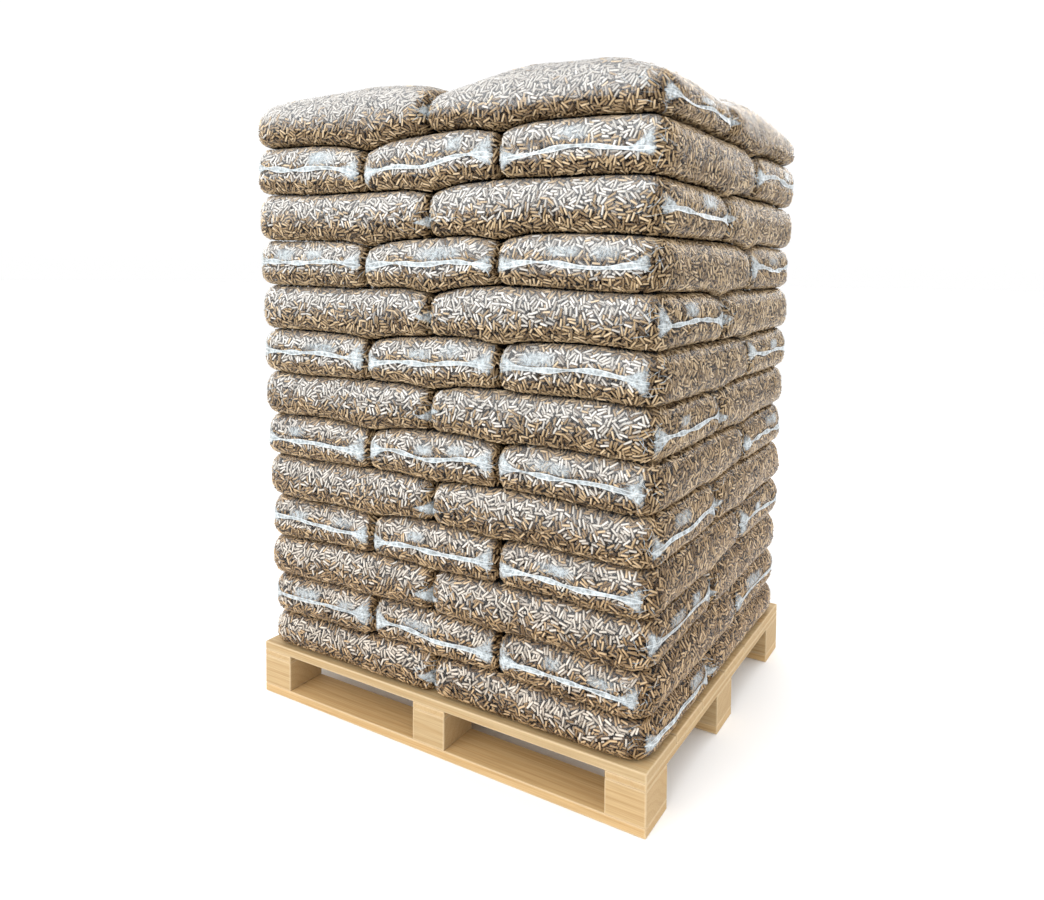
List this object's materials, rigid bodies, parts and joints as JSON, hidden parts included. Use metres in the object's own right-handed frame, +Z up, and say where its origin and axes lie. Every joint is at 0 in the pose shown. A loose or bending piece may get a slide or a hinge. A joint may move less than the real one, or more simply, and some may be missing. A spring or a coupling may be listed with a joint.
{
  "type": "pallet of sacks",
  "caption": "Timber block pallet loaded with bonded layers of clear film sacks filled with wood pellets, open for forks on all four sides.",
  "frame": {"origin": "on the floor under the middle of the pallet and its load", "axes": "+X along the pallet's long side, +Y along its short side towards the rear face, +Z up"},
  "size_m": [1.2696, 1.06, 1.7098],
  "materials": {
    "pine_boards": "clean sawn pine, matt, with fine straight grain along each board",
    "pine_blocks": "clean sawn pine, matt, slightly darker, with coarser grain and end grain on two faces",
    "filled_sacks": "thin clear film with a soft sheen, drawn tight over beige wood pellets"
  },
  "bodies": {
    "root": {"runner_front": "pine_boards", "runner_middle": "pine_boards", "runner_rear": "pine_boards", "cross_board_left": "pine_boards", "cross_board_centre": "pine_boards", "cross_board_right": "pine_boards", "deck_board_1": "pine_boards", "deck_board_2": "pine_boards", "deck_board_3": "pine_boards", "deck_board_4": "pine_boards", "deck_board_5": "pine_boards", "deck_board_6": "pine_boards", "block_front_left": "pine_blocks", "block_front_centre": "pine_blocks", "block_front_right": "pine_blocks", "block_middle_left": "pine_blocks", "block_middle_centre": "pine_blocks", "block_middle_right": "pine_blocks", "block_rear_left": "pine_blocks", "block_rear_centre": "pine_blocks", "block_rear_right": "pine_blocks", "sack_layer_01": "filled_sacks", "sack_layer_02": "filled_sacks", "sack_layer_03": "filled_sacks", "sack_layer_04": "filled_sacks", "sack_layer_05": "filled_sacks", "sack_layer_06": "filled_sacks", "sack_layer_07": "filled_sacks", "sack_layer_08": "filled_sacks", "sack_layer_09": "filled_sacks", "sack_layer_10": "filled_sacks", "sack_layer_11": "filled_sacks", "sack_layer_12": "filled_sacks", "sack_layer_13": "filled_sacks"}
  },
  "joints": []
}
